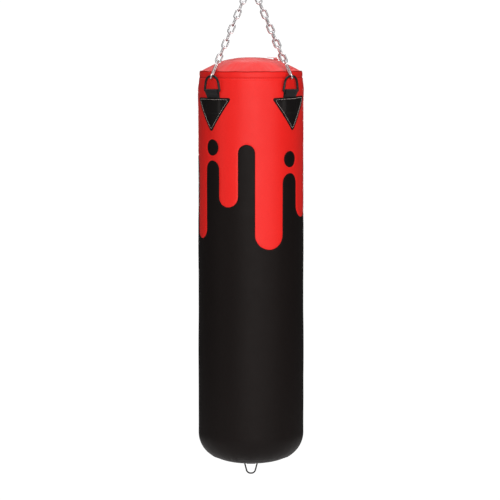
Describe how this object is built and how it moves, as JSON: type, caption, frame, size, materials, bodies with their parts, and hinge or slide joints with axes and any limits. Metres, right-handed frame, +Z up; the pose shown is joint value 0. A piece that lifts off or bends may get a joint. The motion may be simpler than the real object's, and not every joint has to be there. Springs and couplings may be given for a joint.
{
  "type": "hanging punching bag",
  "caption": "Stuffed cylindrical punching bag on chain legs with snap hooks, gathered by a shackle under a ball-bearing swivel.",
  "frame": {"origin": "centre of the swivel's top eye", "axes": "+Z up along the bag's axis, -Y towards the front of the bag"},
  "size_m": [0.3219, 0.322, 1.6727],
  "materials": {
    "red_leather": "smooth semi-gloss synthetic leather",
    "black_leather": "smooth semi-gloss synthetic leather",
    "patch_leather": "grained leather",
    "black_webbing": "woven polyester webbing",
    "pale_thread": "waxed thread",
    "red_thread": "waxed thread",
    "foam": "felt and foam",
    "stuffing": "shredded textile",
    "zip_tape": "woven red tape",
    "zip_plastic": "moulded, red",
    "red_steel": "red paint",
    "black_steel": "black powder coat",
    "zinc_steel": "bright zinc plate",
    "chain_steel": "bright zinc plate",
    "bearing_steel": "ground"
  },
  "bodies": {
    "swivel_top": {"swivel_eye": "zinc_steel", "swivel_housing": "zinc_steel", "race_lower": "bearing_steel"},
    "spindle": {"spindle": "zinc_steel", "spindle_nut": "zinc_steel", "race_upper": "bearing_steel", "bearing_balls": "bearing_steel"},
    "shackle": {"shackle_bow": "zinc_steel", "shackle_pin": "zinc_steel", "shackle_nut": "zinc_steel", "shackle_cotter": "zinc_steel"},
    "bag": {"shell_red": "red_leather", "shell_black": "black_leather", "shell_dots": "black_leather", "rim_band": "red_leather", "hem_stitches": "red_thread", "foam_liner": "foam", "filling": "stuffing", "lid_front": "red_leather", "lid_back": "red_leather", "zip_tapes": "zip_tape", "zip_teeth": "zip_plastic", "base_panel": "black_leather", "base_patch": "patch_leather", "base_strap": "black_webbing", "patch_stitches": "pale_thread", "d_ring_front_left": "black_steel", "strap_front_left": "black_webbing", "patch_front_left": "patch_leather", "snap_hook_front_left": "zinc_steel", "chain_front_left": "chain_steel", "d_ring_front_right": "black_steel", "strap_front_right": "black_webbing", "patch_front_right": "patch_leather", "snap_hook_front_right": "zinc_steel", "chain_front_right": "chain_steel", "d_ring_back_right": "black_steel", "strap_back_right": "black_webbing", "patch_back_right": "patch_leather", "snap_hook_back_right": "zinc_steel", "chain_back_right": "chain_steel", "d_ring_back_left": "black_steel", "strap_back_left": "black_webbing", "patch_back_left": "patch_leather", "snap_hook_back_left": "zinc_steel", "chain_back_left": "chain_steel"},
    "base_ring": {"base_ring": "black_steel"},
    "zip_slider": {"zip_slider": "red_steel"},
    "zip_pull": {"zip_pull": "red_steel"},
    "gate_front_left": {"hook_gate_front_left": "zinc_steel", "gate_pin_front_left": "bearing_steel"},
    "gate_front_right": {"hook_gate_front_right": "zinc_steel", "gate_pin_front_right": "bearing_steel"},
    "gate_back_right": {"hook_gate_back_right": "zinc_steel", "gate_pin_back_right": "bearing_steel"},
    "gate_back_left": {"hook_gate_back_left": "zinc_steel", "gate_pin_back_left": "bearing_steel"}
  },
  "joints": [
    {"name": "spin", "type": "hinge", "parent": "swivel_top", "child": "spindle", "pos_m": [0, 0, 0], "axis": [0, 0, 1], "continuous": true},
    {"name": "swing_fore_aft", "type": "hinge", "parent": "spindle", "child": "shackle", "pos_m": [0, 0, -0.111], "axis": [1, 0, 0], "range_deg": [-30, 30]},
    {"name": "swing_sideways", "type": "hinge", "parent": "shackle", "child": "bag", "pos_m": [0, 0, -0.1444], "axis": [0, 1, 0], "range_deg": [-30, 30]},
    {"name": "base_ring_swing", "type": "hinge", "parent": "bag", "child": "base_ring", "pos_m": [0, 0, -1.6158], "axis": [1, 0, 0], "range_deg": [-75, 75]},
    {"name": "gate_front_left_open", "type": "hinge", "parent": "bag", "child": "gate_front_left", "pos_m": [-0.1058, -0.11727, -0.39059], "axis": [0.9284, -0.1805, -0.3247], "range_deg": [0, 22], "stiffness_Nm_per_rad": 0.05, "springref_deg": -14.32},
    {"name": "gate_front_right_open", "type": "hinge", "parent": "bag", "child": "gate_front_right", "pos_m": [0.10584, -0.11625, -0.39063], "axis": [0.9301, 0.1808, 0.3196], "range_deg": [0, 22], "stiffness_Nm_per_rad": 0.05, "springref_deg": -14.32},
    {"name": "gate_back_right_open", "type": "hinge", "parent": "bag", "child": "gate_back_right", "pos_m": [0.1058, 0.11727, -0.39059], "axis": [-0.9284, 0.1805, -0.3247], "range_deg": [0, 22], "stiffness_Nm_per_rad": 0.05, "springref_deg": -14.32},
    {"name": "gate_back_left_open", "type": "hinge", "parent": "bag", "child": "gate_back_left", "pos_m": [-0.10584, 0.11625, -0.39063], "axis": [-0.9301, -0.1808, 0.3196], "range_deg": [0, 22], "stiffness_Nm_per_rad": 0.05, "springref_deg": -14.32},
    {"name": "zip_slide", "type": "hinge", "parent": "bag", "child": "zip_slider", "pos_m": [0, 0, -0.70072], "axis": [0, 1, 0], "range_deg": [-26.4, 0]},
    {"name": "pull_flip", "type": "hinge", "parent": "zip_slider", "child": "zip_pull", "pos_m": [0.07678, 0, -0.37338], "axis": [0, 1, 0], "range_deg": [0, 150]}
  ]
}
